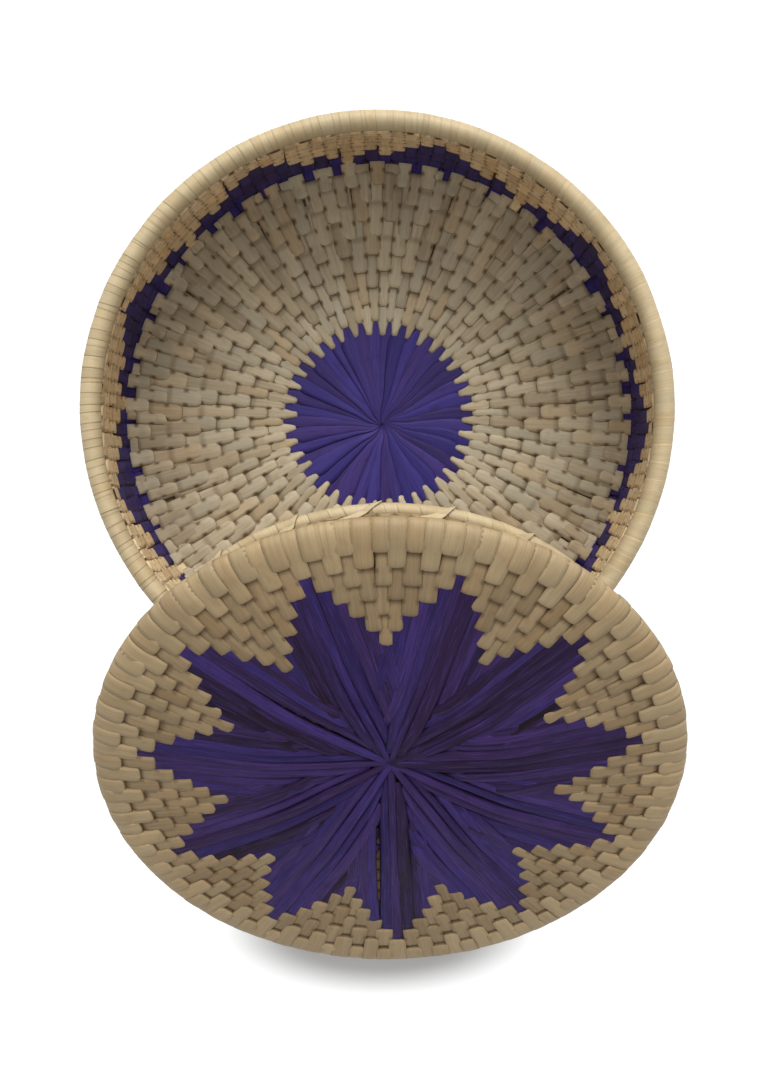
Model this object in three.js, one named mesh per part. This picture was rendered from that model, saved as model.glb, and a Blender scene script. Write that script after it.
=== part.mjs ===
// A round palm leaf bread basket with its lid taken off and leaned against the rim.
// Floor, wall, lid and collar are each one unbroken palm core, coiled round and round.
// Purple strips make a rosette on the floor, a zigzag round the wall and a star on the lid.
import * as THREE from "three";
import { mergeVertices } from "three/addons/utils/BufferGeometryUtils.js";

// Basket, in millimetres
const RIM_RADIUS = 150;
const BASKET_HEIGHT = 105;
const RIM_ROLL = 13;
const FLOOR_RADIUS = 150;
const FLOOR_THICKNESS = 8;
const WALL_THICKNESS = 8;
const WALL_BULGE = 5;
const ROW = 10;
const HUB_RADIUS = 9;

// Purple rosette on the floor
const ROSETTE_STRIPS = 40;
const ROSETTE_VALLEY = 43;
const ROSETTE_TIP = 53;
const ROSETTE_TAPER = 0.7;

// Purple zigzag round the inside of the wall
const PEAKS = 9;
const PEAK_ROWS = 5;
const PEAK_TURN = THREE.MathUtils.degToRad(-3);

// Lid, as wide as the rim
const LID_THICKNESS = 8;
const LID_DROP = 5;
const EDGE_WIDTH = 11;
const EDGE_HEIGHT = 13;
const LID_LEAN = THREE.MathUtils.degToRad(31.5);
const LID_ASIDE = 3.3;
const LID_ROUND = THREE.MathUtils.degToRad(1.1);

// Purple star on the lid
const STAR_POINTS = 11;
const STAR_COLUMNS = 9;
const STAR_ROWS = 5;
const STAR_SPAN = 0.9;
const FAN_ROWS = 2;
const STAR_STEP = 8.6;
const STAR_BORDER = 13.7;
const STAR_TURN = THREE.MathUtils.degToRad(17.2);

// Collar under the lid, with the wrapped ring lashed to its lower edge
const COLLAR_THICKNESS = 6;
const COLLAR_DEPTH = 50;
const RING_ROLL = 9;
const MOUTH_CLEARANCE = 1.2;
const TIES = 21;
const TIE_WIDTH = 7;
const TIE_SLANT = 6;
const TIE_RISE = 9;
const TIE_TURN = THREE.MathUtils.degToRad(-6);

// Palm strips, and the gaps between pieces that touch
const STRIP = 1;
const STRIP_RIDGE = 0.6;
const SEAT_GAP = 0.3;
const COIL_SLIT = 0.5;
const COIL_BEVEL = 2.4;
const COIL_END = 1;

// Facets
const LOOP_STEPS = 24;
const SMALL_LOOP_STEPS = 12;
const SMALL_LOOP_RADIUS = 40;
const ROLL_STEPS = 48;
const ROLL_SIDES = 8;
const HUB_STEPS = 24;
const RIM_SAMPLES = 720;
const WELD = 1e-4;
const TURN_SLACK = 1e-3;
const LEAN_STEP = 0.01;

const FULL_TURN = 2 * Math.PI;
const QUARTER_TURN = Math.PI / 2;

// Sizes that follow from those above
const mouthRadius = RIM_RADIUS - RIM_ROLL;
const rimCentreRadius = RIM_RADIUS - RIM_ROLL / 2;
const rimCentreHeight = BASKET_HEIGHT - RIM_ROLL / 2;
const wallFootRadius = FLOOR_RADIUS - WALL_THICKNESS / 2;
const wallFootHeight = FLOOR_THICKNESS + SEAT_GAP;
const wallTopHeight = BASKET_HEIGHT - RIM_ROLL - SEAT_GAP;
const lidRadius = RIM_RADIUS;
const lidCoilRadius = lidRadius - EDGE_WIDTH - SEAT_GAP;
const starTip = lidCoilRadius - STAR_BORDER;
const starValley = starTip - STAR_ROWS * STAR_STEP;
const ringRadius = mouthRadius - MOUTH_CLEARANCE - STRIP - SEAT_GAP - RING_ROLL / 2;
const ringHeight = RING_ROLL / 2 - COLLAR_DEPTH;
const collarFootHeight = ringHeight + RING_ROLL / 2 + SEAT_GAP;
const rollCorner = 1 / Math.cos(Math.PI / ROLL_SIDES);

function palm(color) {
  return new THREE.MeshStandardMaterial({ color, roughness: 0.75, metalness: 0 });
}

const strawLeaf = palm(0xc9b48a);
const rimLeaf = palm(0xd8c294);
const lidLeaf = palm(0xcfb07c);
const purpleLeaf = palm(0x3f2f7d);

function piece(name, geometry, material) {
  const mesh = new THREE.Mesh(geometry, material);
  mesh.name = name;
  return mesh;
}

// A point at a radius and an angle about the vertical axis
function polar(radius, angle, height) {
  return new THREE.Vector3(radius * Math.cos(angle), radius * Math.sin(angle), height);
}

// A closed body from shared corners and triangles, turned to face out
function body(corners, triangles) {
  const a = new THREE.Vector3();
  let volume = 0;
  for (let i = 0; i < triangles.length; i += 3) {
    a.crossVectors(corners[triangles[i]], corners[triangles[i + 1]]);
    volume += a.dot(corners[triangles[i + 2]]);
  }
  const index = volume < 0 ? triangles.reverse() : triangles;
  const geometry = new THREE.BufferGeometry().setFromPoints(corners);
  geometry.setIndex(index);
  geometry.computeVertexNormals();
  return geometry;
}

// A body swept through rings of corners that have the same number of sides, capped at both ends
function sweep(rings) {
  const sides = rings[0].length;
  const last = (rings.length - 1) * sides;
  const triangles = [];
  for (let start = 0; start < last; start += sides) {
    for (let j = 0; j < sides; j++) {
      const k = (j + 1) % sides;
      const next = start + sides;
      triangles.push(start + j, next + j, next + k, start + j, next + k, start + k);
    }
  }
  for (let j = 1; j < sides - 1; j++) {
    triangles.push(0, j, j + 1, last, last + j + 1, last + j);
  }
  return body(rings.flat(), triangles);
}

// A ring or disc turned about the vertical axis from its radius and height outline
function revolve(outline, steps) {
  const geometry = new THREE.LatheGeometry(outline, steps).rotateX(QUARTER_TURN);
  geometry.deleteAttribute("normal");
  geometry.deleteAttribute("uv");
  const merged = mergeVertices(geometry, WELD);
  const corners = [];
  for (let i = 0; i < merged.attributes.position.count; i++) {
    corners.push(new THREE.Vector3().fromBufferAttribute(merged.attributes.position, i));
  }
  const triangles = [];
  for (let i = 0; i < merged.index.count; i += 3) {
    const corner = [0, 1, 2].map((j) => merged.index.getX(i + j));
    if (new Set(corner).size === 3) triangles.push(...corner);
  }
  return body(corners, triangles);
}

// A wrapped roll: an oval section turned about the axis, its flats at the full width and height
function roll(centreRadius, centreHeight, width, height) {
  const outline = [];
  for (let i = 0; i <= ROLL_SIDES; i++) {
    const angle = rollAngle(i % ROLL_SIDES);
    const radius = centreRadius + (width / 2) * rollCorner * Math.cos(angle);
    const rise = (height / 2) * rollCorner * Math.sin(angle);
    outline.push(new THREE.Vector2(radius, centreHeight + rise));
  }
  return revolve(outline, ROLL_STEPS);
}

// The angle of a corner of a roll's section, counted up from the first one above its outer flat
function rollAngle(corner) {
  return (corner + 0.5) * (FULL_TURN / ROLL_SIDES);
}

// The radius at an angle of a coil's facets, whose corners lie on a circle
function facetRadius(radius, angle) {
  const half = Math.PI / LOOP_STEPS;
  const fromMiddle = THREE.MathUtils.euclideanModulo(angle, 2 * half) - half;
  return (radius * Math.cos(half)) / Math.cos(fromMiddle);
}

// Where the coil lies on its radius and height curve, and the direction its front face looks
function onCurve(curve, distance, depth) {
  const share = THREE.MathUtils.clamp(distance / curve.getLength(), 0, 1);
  const along = curve.getTangentAt(share);
  return curve.getPointAt(share).add(new THREE.Vector2(-along.y, along.x).multiplyScalar(depth));
}

// One coiled core: a band that winds from the start of the curve to its end, a row each turn.
// It tapers in over its first turn and out over its last, so both its edges are level.
// The corners are its edge at the back or the middle, with a bevelled front and, if asked, back.
function coil(name, curve, thickness, bevelBack) {
  const length = curve.getLength();
  const pitch = length / Math.round(length / ROW);
  const firstTurn = (COIL_END + COIL_SLIT) / pitch;
  const lastTurn = 1 + (length - COIL_SLIT - COIL_END) / pitch;
  const rings = [];
  const edges = [];
  let turn = firstTurn;
  while (turn <= lastTurn) {
    const low = Math.max(turn - 1, 0) * pitch + COIL_SLIT / 2;
    const high = Math.min(turn * pitch, length) - COIL_SLIT / 2;
    const bevel = Math.min(COIL_BEVEL, (high - low) / 4);
    const front = thickness / 2;
    const section = bevelBack
      ? [[low, 0], [low + bevel, -front], [high - bevel, -front],
        [high, 0], [high - bevel, front], [low + bevel, front]]
      : [[low, -front], [high, -front], [high - bevel, front], [low + bevel, front]];
    const at = ([distance, depth]) => {
      const point = onCurve(curve, distance, depth);
      return polar(point.x, turn * FULL_TURN, point.y);
    };
    const ring = section.map(at);
    rings.push(ring);
    edges.push({ turn, low: ring[0], high: ring[bevelBack ? 3 : 1] });
    const radius = Math.hypot(ring[0].x, ring[0].y);
    const steps = radius < SMALL_LOOP_RADIUS ? SMALL_LOOP_STEPS : LOOP_STEPS;
    const next = Math.floor(turn * steps + 1 + TURN_SLACK) / steps;
    turn = turn < lastTurn ? Math.min(next, lastTurn) : Infinity;
  }
  console.log(`${name}: least gap to itself ${leastGap(edges).toFixed(2)} mm`);
  return sweep(rings);
}

// The least distance from a turn's upper edge to the lower edge of the turn after it
function leastGap(edges) {
  let least = Infinity;
  for (const here of edges) {
    for (const there of edges) {
      if (there.turn > here.turn + 0.5) least = Math.min(least, here.high.distanceTo(there.low));
    }
  }
  return least;
}

// A sheet of stitches: those cells of a grid that are kept, each grid corner placed at two levels
function stitchSheet(rows, columns, keeps, place, closedRound) {
  const has = (row, column) => {
    const inside = closedRound || (column >= 0 && column < columns);
    return row >= 0 && row < rows && inside && keeps(row, (column + columns) % columns);
  };
  const corners = [];
  const numbers = new Map();
  const corner = (row, column, level) => {
    const wrapped = closedRound ? (column + columns) % columns : column;
    const key = `${row} ${wrapped} ${level}`;
    if (!numbers.has(key)) {
      numbers.set(key, corners.length);
      corners.push(place(row, wrapped, level));
    }
    return numbers.get(key);
  };
  const triangles = [];
  const quad = (a, b, c, d) => triangles.push(a, b, c, a, c, d);
  const side = (row, column, nextRow, nextColumn) => quad(
    corner(row, column, 0), corner(nextRow, nextColumn, 0),
    corner(nextRow, nextColumn, 1), corner(row, column, 1));
  for (let r = 0; r < rows; r++) {
    for (let c = 0; c < columns; c++) {
      if (!has(r, c)) continue;
      quad(corner(r, c, 1), corner(r, c + 1, 1), corner(r + 1, c + 1, 1), corner(r + 1, c, 1));
      quad(corner(r, c, 0), corner(r + 1, c, 0), corner(r + 1, c + 1, 0), corner(r, c + 1, 0));
      if (!has(r - 1, c)) side(r, c, r, c + 1);
      if (!has(r + 1, c)) side(r + 1, c + 1, r + 1, c);
      if (!has(r, c - 1)) side(r + 1, c, r, c);
      if (!has(r, c + 1)) side(r, c + 1, r + 1, c + 1);
    }
  }
  return body(corners, triangles);
}

// The height of a strip's face above its seat, ridged along every second grid line
function stripLevel(column, level) {
  return level === 0 ? SEAT_GAP : SEAT_GAP + STRIP + STRIP_RIDGE * (column % 2);
}

// The angle of a grid line in one of several like patches, which fill this share of the way round
function patchAngle(patch, patches, column, columns, radius, share) {
  const span = FULL_TURN / patches;
  return patch * span + (column / columns - 0.5) * (share * span - SEAT_GAP / radius);
}

// The round start of a coil, hollowed a little where the strips dive in
function hub(top, thickness) {
  const outline = [[0, top - thickness], [HUB_RADIUS, top - thickness], [HUB_RADIUS, top],
    [HUB_RADIUS / 2, top], [0, top - STRIP]];
  return revolve(outline.map(([radius, height]) => new THREE.Vector2(radius, height)), HUB_STEPS);
}

function floorCoil() {
  const middle = FLOOR_THICKNESS / 2;
  const start = new THREE.Vector2(HUB_RADIUS + SEAT_GAP, middle);
  const curve = new THREE.LineCurve(start, new THREE.Vector2(FLOOR_RADIUS, middle));
  return coil("basket_floor_coil", curve, FLOOR_THICKNESS, false);
}

// The wall's middle line, from the floor's edge up to the rim, bowed out a little
function wallCurve() {
  const foot = new THREE.Vector2(wallFootRadius, wallFootHeight);
  const top = new THREE.Vector2(rimCentreRadius, wallTopHeight);
  const bow = foot.clone().lerp(top, 0.5).add(new THREE.Vector2(WALL_BULGE, 0));
  return new THREE.QuadraticBezierCurve(foot, bow, top);
}

function rosette() {
  const radii = [HUB_RADIUS + SEAT_GAP, ROSETTE_VALLEY, ROSETTE_TIP];
  const columns = 2 * ROSETTE_STRIPS;
  const keeps = (row, column) => row === 0 || column % 2 === 0;
  const place = (row, column, level) => {
    const towardsMiddle = column % 2 === 0 ? 0.5 : -0.5;
    const taper = row === 2 ? towardsMiddle * (1 - ROSETTE_TAPER) : 0;
    const angle = ((column + taper) / columns) * FULL_TURN;
    return polar(radii[row], angle, FLOOR_THICKNESS + SEAT_GAP + level * STRIP);
  };
  return stitchSheet(2, columns, keeps, place, true);
}

// One stepped peak of the zigzag, on the inside of the wall
function zigzagPeak(number) {
  const curve = wallCurve();
  const row = curve.getLength() / Math.round(curve.getLength() / ROW);
  const columns = 2 * PEAK_ROWS;
  const keeps = (r, column) => column >= r && column < columns - r;
  const place = (r, column, level) => {
    const lift = WALL_THICKNESS / 2 + stripLevel(column, level);
    const point = onCurve(curve, r * row, lift);
    const angle = PEAK_TURN + patchAngle(number, PEAKS, column, columns, point.x, 1);
    return polar(facetRadius(point.x, angle), angle, point.y);
  };
  return stitchSheet(PEAK_ROWS, columns, keeps, place, false);
}

function basket() {
  const group = new THREE.Group();
  const rim = roll(rimCentreRadius, rimCentreHeight, RIM_ROLL, RIM_ROLL);
  const wall = coil("basket_wall_coil", wallCurve(), WALL_THICKNESS, true);
  group.add(piece("basket_centre", hub(FLOOR_THICKNESS, FLOOR_THICKNESS), strawLeaf));
  group.add(piece("basket_floor_coil", floorCoil(), strawLeaf));
  group.add(piece("basket_wall_coil", wall, strawLeaf));
  group.add(piece("basket_rosette", rosette(), purpleLeaf));
  for (let i = 0; i < PEAKS; i++) {
    group.add(piece(`basket_zigzag_peak_${i + 1}`, zigzagPeak(i), purpleLeaf));
  }
  group.add(piece("basket_rim_roll", rim, rimLeaf));
  return group;
}

// The middle of the lid's thickness, from its hub to the edge roll, falling a little outwards.
// The lid's own zero height is the top of its face at the hub.
function lidCurve() {
  const start = new THREE.Vector2(HUB_RADIUS + SEAT_GAP, -LID_THICKNESS / 2);
  const end = new THREE.Vector2(lidCoilRadius, -LID_THICKNESS / 2 - LID_DROP);
  const level = new THREE.Vector2((start.x + end.x) / 2, start.y);
  return new THREE.QuadraticBezierCurve(start, level, end);
}

// The lid face's height at a radius
function lidFace(radius) {
  const share = (radius - HUB_RADIUS - SEAT_GAP) / (lidCoilRadius - HUB_RADIUS - SEAT_GAP);
  return -LID_DROP * share * share;
}

// One point of the star: a fan of strips from the hub whose end steps in a column each row.
// A plain column is left between one point and the next.
function starPoint(number) {
  const fanStart = HUB_RADIUS + SEAT_GAP;
  const fanStep = (starValley - fanStart) / FAN_ROWS;
  const keeps = (row, column) => {
    const inset = Math.max(row - FAN_ROWS, 0);
    return column >= inset && column < STAR_COLUMNS - inset;
  };
  const place = (row, column, level) => {
    const pointRow = Math.max(row - FAN_ROWS, 0);
    const radius = fanStart + (row - pointRow) * fanStep + pointRow * STAR_STEP;
    const share = row < FAN_ROWS ? 1 : STAR_SPAN;
    const angle = patchAngle(number, STAR_POINTS, column, STAR_COLUMNS, radius, share);
    return polar(radius, QUARTER_TURN + STAR_TURN + angle, lidFace(radius) + stripLevel(column, level));
  };
  return stitchSheet(FAN_ROWS + STAR_ROWS, STAR_COLUMNS, keeps, place, false);
}

function collarCurve() {
  const topHeight = lidFace(ringRadius + COLLAR_THICKNESS / 2) - LID_THICKNESS - SEAT_GAP;
  const top = new THREE.Vector2(ringRadius, topHeight);
  return new THREE.LineCurve(top, new THREE.Vector2(ringRadius, collarFootHeight));
}

// One tie: a strip that runs slantwise down the collar and round the outside of the ring
function ringTie(number) {
  const seat = (RING_ROLL / 2 + SEAT_GAP) * rollCorner;
  const path = [[COLLAR_THICKNESS / 2 + SEAT_GAP, TIE_RISE, 1, 0]];
  for (const corner of [0, -1, -2]) {
    const out = Math.cos(rollAngle(corner));
    const up = Math.sin(rollAngle(corner));
    path.push([seat * out, seat * up, out, up]);
  }
  const middle = QUARTER_TURN + TIE_TURN + (number * FULL_TURN) / TIES;
  const rings = path.map(([out, up, outWay, upWay], i) => {
    const slant = TIE_SLANT * (i / (path.length - 1) - 0.5);
    const corner = (across, depth) => polar(
      ringRadius + out + outWay * depth,
      middle + (slant + (across * TIE_WIDTH) / 2) / ringRadius,
      ringHeight + up + upWay * depth);
    return [corner(-1, 0), corner(1, 0), corner(1, STRIP), corner(-1, STRIP)];
  });
  return sweep(rings);
}

function lid() {
  const group = new THREE.Group();
  const edgeTop = lidFace(lidCoilRadius);
  const edge = roll(lidRadius - EDGE_WIDTH / 2, edgeTop - EDGE_HEIGHT / 2, EDGE_WIDTH, EDGE_HEIGHT);
  const collar = coil("lid_collar_coil", collarCurve(), COLLAR_THICKNESS, false);
  const ring = roll(ringRadius, ringHeight, RING_ROLL, RING_ROLL);
  group.add(piece("lid_centre", hub(0, LID_THICKNESS), purpleLeaf));
  group.add(piece("lid_coil", coil("lid_coil", lidCurve(), LID_THICKNESS, false), lidLeaf));
  for (let i = 0; i < STAR_POINTS; i++) {
    group.add(piece(`lid_star_point_${i + 1}`, starPoint(i), purpleLeaf));
  }
  group.add(piece("lid_edge_roll", edge, lidLeaf));
  group.add(piece("lid_collar_coil", collar, rimLeaf));
  group.add(piece("lid_collar_ring", ring, rimLeaf));
  for (let i = 0; i < TIES; i++) {
    group.add(piece(`lid_ring_tie_${i + 1}`, ringTie(i), rimLeaf));
  }
  return group;
}

// The gap from the basket's rim to the lid, for a lid that is turned, lifted and this far back.
// The lid is taken as its ring, whose inner underside meets the rim clear of the ties, and as
// three bands, each from one radius to another and down to a depth.
function rimToLid(group, back) {
  const unturn = new THREE.Quaternion().setFromEuler(group.rotation).invert();
  const halfRing = (RING_ROLL / 2) * rollCorner;
  const bands = [
    [0, lidCoilRadius, LID_DROP + LID_THICKNESS],
    [lidCoilRadius, lidRadius, LID_DROP + EDGE_HEIGHT],
    [ringRadius - COLLAR_THICKNESS / 2, ringRadius + COLLAR_THICKNESS / 2, -collarFootHeight],
  ];
  let least = Infinity;
  for (let i = 0; i < RIM_SAMPLES; i++) {
    const point = polar(rimCentreRadius, (i * FULL_TURN) / RIM_SAMPLES, rimCentreHeight);
    point.sub(new THREE.Vector3(LID_ASIDE, back, group.position.z)).applyQuaternion(unturn);
    const radius = Math.hypot(point.x, point.y);
    least = Math.min(least, Math.hypot(radius - ringRadius, point.z - ringHeight) - halfRing);
    for (const [inner, outer, depth] of bands) {
      const beside = Math.max(inner - radius, radius - outer, 0);
      least = Math.min(least, Math.hypot(beside, Math.max(-point.z - depth, 0)));
    }
  }
  return least - (RIM_ROLL / 2) * rollCorner;
}

// Stands the lid on its collar ring in front of the basket, a little to one side, and slides it
// back to lean on the rim
function lean(group) {
  group.rotation.x = LID_LEAN;
  group.updateMatrixWorld(true);
  group.position.z = -new THREE.Box3().setFromObject(group, true).min.z;
  let clear = -2 * (RIM_RADIUS + lidRadius);
  let touching = 0;
  while (touching - clear > LEAN_STEP) {
    const between = (clear + touching) / 2;
    if (rimToLid(group, between) > SEAT_GAP) clear = between;
    else touching = between;
  }
  group.position.x = LID_ASIDE;
  group.position.y = clear;
}

const lidGroup = lid();
lean(lidGroup);

// The lean is worked out straight in front, then carried a little way round the basket
const carried = new THREE.Group();
carried.add(lidGroup);
carried.rotation.z = LID_ROUND;

const assembly = new THREE.Group();
assembly.add(basket(), carried);

export default assembly;
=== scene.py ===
"""A lidded bread basket of palm leaf: strips stitched, wound and fanned over coiled cores.

Each strip starts as a flat block. Its corners are then placed by a way along an outline, a lift
off that outline and a turn about the axis, so that every strip bends with the surface it lies on.
"""

import math
from typing import NamedTuple

import bpy
import numpy as np
from bpy.props import FloatProperty, FloatVectorProperty, IntProperty, PointerProperty
from mathutils import Matrix, Vector


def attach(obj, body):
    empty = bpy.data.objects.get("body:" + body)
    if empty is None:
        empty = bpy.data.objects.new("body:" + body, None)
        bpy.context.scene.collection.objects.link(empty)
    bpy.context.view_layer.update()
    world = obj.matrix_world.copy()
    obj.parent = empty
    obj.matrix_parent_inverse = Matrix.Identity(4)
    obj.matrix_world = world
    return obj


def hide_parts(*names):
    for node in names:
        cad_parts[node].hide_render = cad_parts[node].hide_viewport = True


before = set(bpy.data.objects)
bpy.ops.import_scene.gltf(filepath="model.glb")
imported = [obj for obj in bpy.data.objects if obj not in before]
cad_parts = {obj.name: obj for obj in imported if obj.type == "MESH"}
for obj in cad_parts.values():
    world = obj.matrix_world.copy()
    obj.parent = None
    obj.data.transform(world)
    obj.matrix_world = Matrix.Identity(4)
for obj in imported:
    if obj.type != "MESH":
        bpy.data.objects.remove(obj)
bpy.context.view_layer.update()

bl_info = {
    "name": "Palm Leaf Bread Basket",
    "version": (1, 0, 0),
    "blender": (4, 5, 0),
    "location": "3D View > Sidebar > Basket",
    "description": "Stitches palm leaf over the coils of a lidded bread basket",
    "category": "Mesh",
}

FULL_TURN = 2 * math.pi
MILLIMETRES = 1000

# Lengths that several pieces share: how far a fan's strips sink in, and the lid's thickness
FAN_DEPTH = 0.0009
LID_THICKNESS = 0.008

# The stage: its paint, the soft edge of the grey patch where the lid stands, partly painted shadow,
# and where the key is
WHITE = (1, 1, 1, 1)
STAGE_PAINT = (0.72, 0.72, 0.72, 1)
SHADOW_EDGE = (0.0215, 0.0475)
KEY_FROM = Vector((0.06, 0.78, 0.6))


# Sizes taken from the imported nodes


class Turned(NamedTuple):
    """How far a turned node reaches out from its axis and along it."""

    inner: float
    outer: float
    low: float
    high: float


def nodes_called(start):
    """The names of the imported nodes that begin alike."""
    return [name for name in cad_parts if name.startswith(start)]


def node_points(node):
    """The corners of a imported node."""
    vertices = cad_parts[node].data.vertices
    points = np.empty(3 * len(vertices), np.float32)
    vertices.foreach_get("co", points)
    return points.reshape(-1, 3).astype(float)


def find_lid():
    """The lid's own place: Z along its axis, X level, and zero on top of its centre."""
    ring = node_points("lid_collar_ring")
    middle = ring.mean(axis=0)
    axis = Vector(np.linalg.eigh(np.cov((ring - middle).T))[1][:, 0])
    if axis.z < 0:
        axis.negate()
    level = Vector((0, 0, 1)).cross(axis).normalized()
    top = (node_points("lid_centre") @ np.array(axis)).max()
    origin = Vector(middle) + axis * (top - Vector(middle).dot(axis))
    turn = Matrix((level, axis.cross(level), axis)).transposed()
    return Matrix.Translation(origin) @ turn.to_4x4()


def turned(node, body):
    """How far a node reaches in the frame of its body's place."""
    unplace = np.array(PLACES[body].inverted())
    points = node_points(node) @ unplace[:3, :3].T + unplace[:3, 3]
    radii = np.hypot(points[:, 0], points[:, 1])
    return Turned(radii.min(), radii.max(), points[:, 2].min(), points[:, 2].max())


PLACES = {"basket": Matrix(), "lid": find_lid()}
FLOOR = turned("basket_floor_coil", "basket")
WALL = turned("basket_wall_coil", "basket")
RIM = turned("basket_rim_roll", "basket")
ROSETTE = turned("basket_rosette", "basket")
DISC = turned("lid_coil", "lid")
EDGE = turned("lid_edge_roll", "lid")
COLLAR = turned("lid_collar_coil", "lid")
RING = turned("lid_collar_ring", "lid")
STAR = turned("lid_star_point_1", "lid")
PEAK_NODES = nodes_called("basket_zigzag_peak")
STAR_NODES = nodes_called("lid_star_point")
BASKET_COILS = ("basket_centre", "basket_floor_coil", "basket_wall_coil")
TIE_NODES = nodes_called("lid_ring_tie")


# Sizes and colours that a user may change


def length_setting(name, description, default):
    """A length that a user may change."""
    return FloatProperty(name=name, description=description, default=default, unit="LENGTH")


def angle_setting(name, description, degrees):
    """An angle that a user may change."""
    return FloatProperty(
        name=name, description=description, default=math.radians(degrees), unit="ROTATION")


def count_setting(name, description, default):
    """A count that a user may change."""
    return IntProperty(name=name, description=description, default=default)


def colour_setting(name, description, default):
    """A colour that a user may change."""
    return FloatVectorProperty(
        name=name, description=description, default=default, subtype="COLOR")


class BasketSizes(bpy.types.PropertyGroup):
    """The basket's rows, columns and patterns."""

    row: length_setting("Row", "Width of one coil row", 0.00955)
    wall_row: length_setting("Wall row", "Height of one coil row in the wall", 0.01)
    wall_thickness: length_setting(
        "Wall thickness", "Thickness of the wall over its stitches", 0.008)
    floor_columns: count_setting("Floor columns", "Columns of stitches round the floor", 80)
    wall_columns: count_setting(
        "Wall columns", "Columns of stitches round the wall", 14 * len(PEAK_NODES))
    peak_rows: count_setting("Peak rows", "Rows that a peak of the zigzag climbs", 5)
    zigzag_turn: angle_setting("Zigzag turn", "Where the first peak stands", -3)
    rosette_strips: count_setting("Rosette strips", "Purple strips in the rosette", 40)
    rim_wraps: count_setting("Rim wraps", "Turns of leaf round the rim", 200)


class LidSizes(bpy.types.PropertyGroup):
    """The lid's rows, columns and patterns."""

    row: length_setting("Row", "Width of one coil row", 0.0086)
    point_columns: count_setting(
        "Point columns", "Columns of stitches from one star point to the next", 10)
    point_rows: count_setting("Point rows", "Rows that a star point steps in over", 5)
    star_turn: angle_setting("Star turn", "Where the first star point lies", 107.2)
    ring_wraps: count_setting("Ring wraps", "Turns of leaf round the collar ring", 96)


class LeafSizes(bpy.types.PropertyGroup):
    """The palm strips."""

    thickness: length_setting("Stitch height", "How far a stitch stands off its core", 0.0022)
    seat: length_setting(
        "Seat", "How far the stitches are seated into the packed solids", 0.001)
    unevenness: FloatProperty(
        name="Unevenness",
        description="How much the stitches differ",
        default=1.0,
        subtype="FACTOR",
    )
    seed: count_setting("Seed", "Start of the chance that makes the strips differ", 7)


class LeafColours(bpy.types.PropertyGroup):
    """The colours of the leaf."""

    straw: colour_setting("Straw", "Leaf of the floor", (0.5, 0.425, 0.3))
    # Painted light: the inside of the wall has paler leaf than its outside and the floor, for the
    # shaded inside of the basket
    wall: colour_setting("Wall", "Leaf of the inside of the wall", (0.78, 0.595, 0.355))
    outside: colour_setting("Outside", "Leaf of the outside of the wall", (0.46, 0.355, 0.21))
    wrapping: colour_setting(
        "Wrapping", "Leaf wound round the rim and the ring", (0.475, 0.378, 0.224))
    lid: colour_setting("Lid", "Leaf of the lid", (0.285, 0.205, 0.113))
    # Painted light: the edge leaf is paler than the lid's own, for the light on the lid's top edge
    edge: colour_setting("Edge", "Leaf folded over the lid's edge", (0.35, 0.256, 0.138))
    purple: colour_setting("Purple", "Dyed leaf of the star", (0.035, 0.0185, 0.093))
    zigzag: colour_setting("Zigzag", "Dyed leaf of the zigzag", (0.042, 0.029, 0.155))
    violet: colour_setting("Violet", "Dyed leaf of the rosette", (0.05, 0.036, 0.182))
    # Painted shade: the core is dark so that where it shows between the stitches it reads as shade in
    # the gaps
    core: colour_setting("Core", "Bundled leaf inside the coils", (0.20, 0.135, 0.07))


class StageSizes(bpy.types.PropertyGroup):
    """The camera and the light."""

    lens: FloatProperty(
        name="Lens",
        description="Focal length on a sensor 36 mm high",
        default=47.0,
        unit="CAMERA",
    )
    eye: FloatVectorProperty(
        name="Eye",
        description="Where the camera is",
        default=(0.0064, -0.0272, 0.808),
        subtype="XYZ",
        unit="LENGTH",
    )
    pitch: angle_setting("Pitch", "How far the camera leans past straight down", 2.9)
    key: FloatProperty(
        name="Key",
        description="Strength of the key light",
        default=3.3,
    )
    key_width: angle_setting("Key width", "Angle that the key light fills", 50)
    sky: FloatProperty(
        name="Sky",
        description="Strength of the light from all round",
        default=0.65,
    )


class BreadBasket(bpy.types.PropertyGroup):
    """All settings of the bread basket."""

    basket: PointerProperty(type=BasketSizes)
    lid: PointerProperty(type=LidSizes)
    leaf: PointerProperty(type=LeafSizes)
    colours: PointerProperty(type=LeafColours)
    stage: PointerProperty(type=StageSizes)


# Node trees


class Wire:
    """A node's output. Arithmetic on it adds Math or Vector Math nodes to its board."""

    def __init__(self, board, socket):
        self.board = board
        self.socket = socket

    def __getitem__(self, output):
        return Wire(self.board, self.socket.node.outputs[output])

    def __add__(self, other):
        return self.board.math("ADD", self, other)

    def __radd__(self, other):
        return self.board.math("ADD", other, self)

    def __sub__(self, other):
        return self.board.math("SUBTRACT", self, other)

    def __rsub__(self, other):
        return self.board.math("SUBTRACT", other, self)

    def __mul__(self, other):
        return self.board.math("MULTIPLY", self, other)

    def __rmul__(self, other):
        return self.board.math("MULTIPLY", other, self)

    def __truediv__(self, other):
        return self.board.math("DIVIDE", self, other)

    def __rtruediv__(self, other):
        return self.board.math("DIVIDE", other, self)

    def __mod__(self, other):
        return self.board.math("MODULO", self, other)

    def __neg__(self):
        return self.board.math("MULTIPLY", self, -1)

    def __abs__(self):
        return self.board.math("ABSOLUTE", self)

    def is_vector(self):
        """Whether this output carries a vector."""
        return self.socket.type == "VECTOR"


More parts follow.
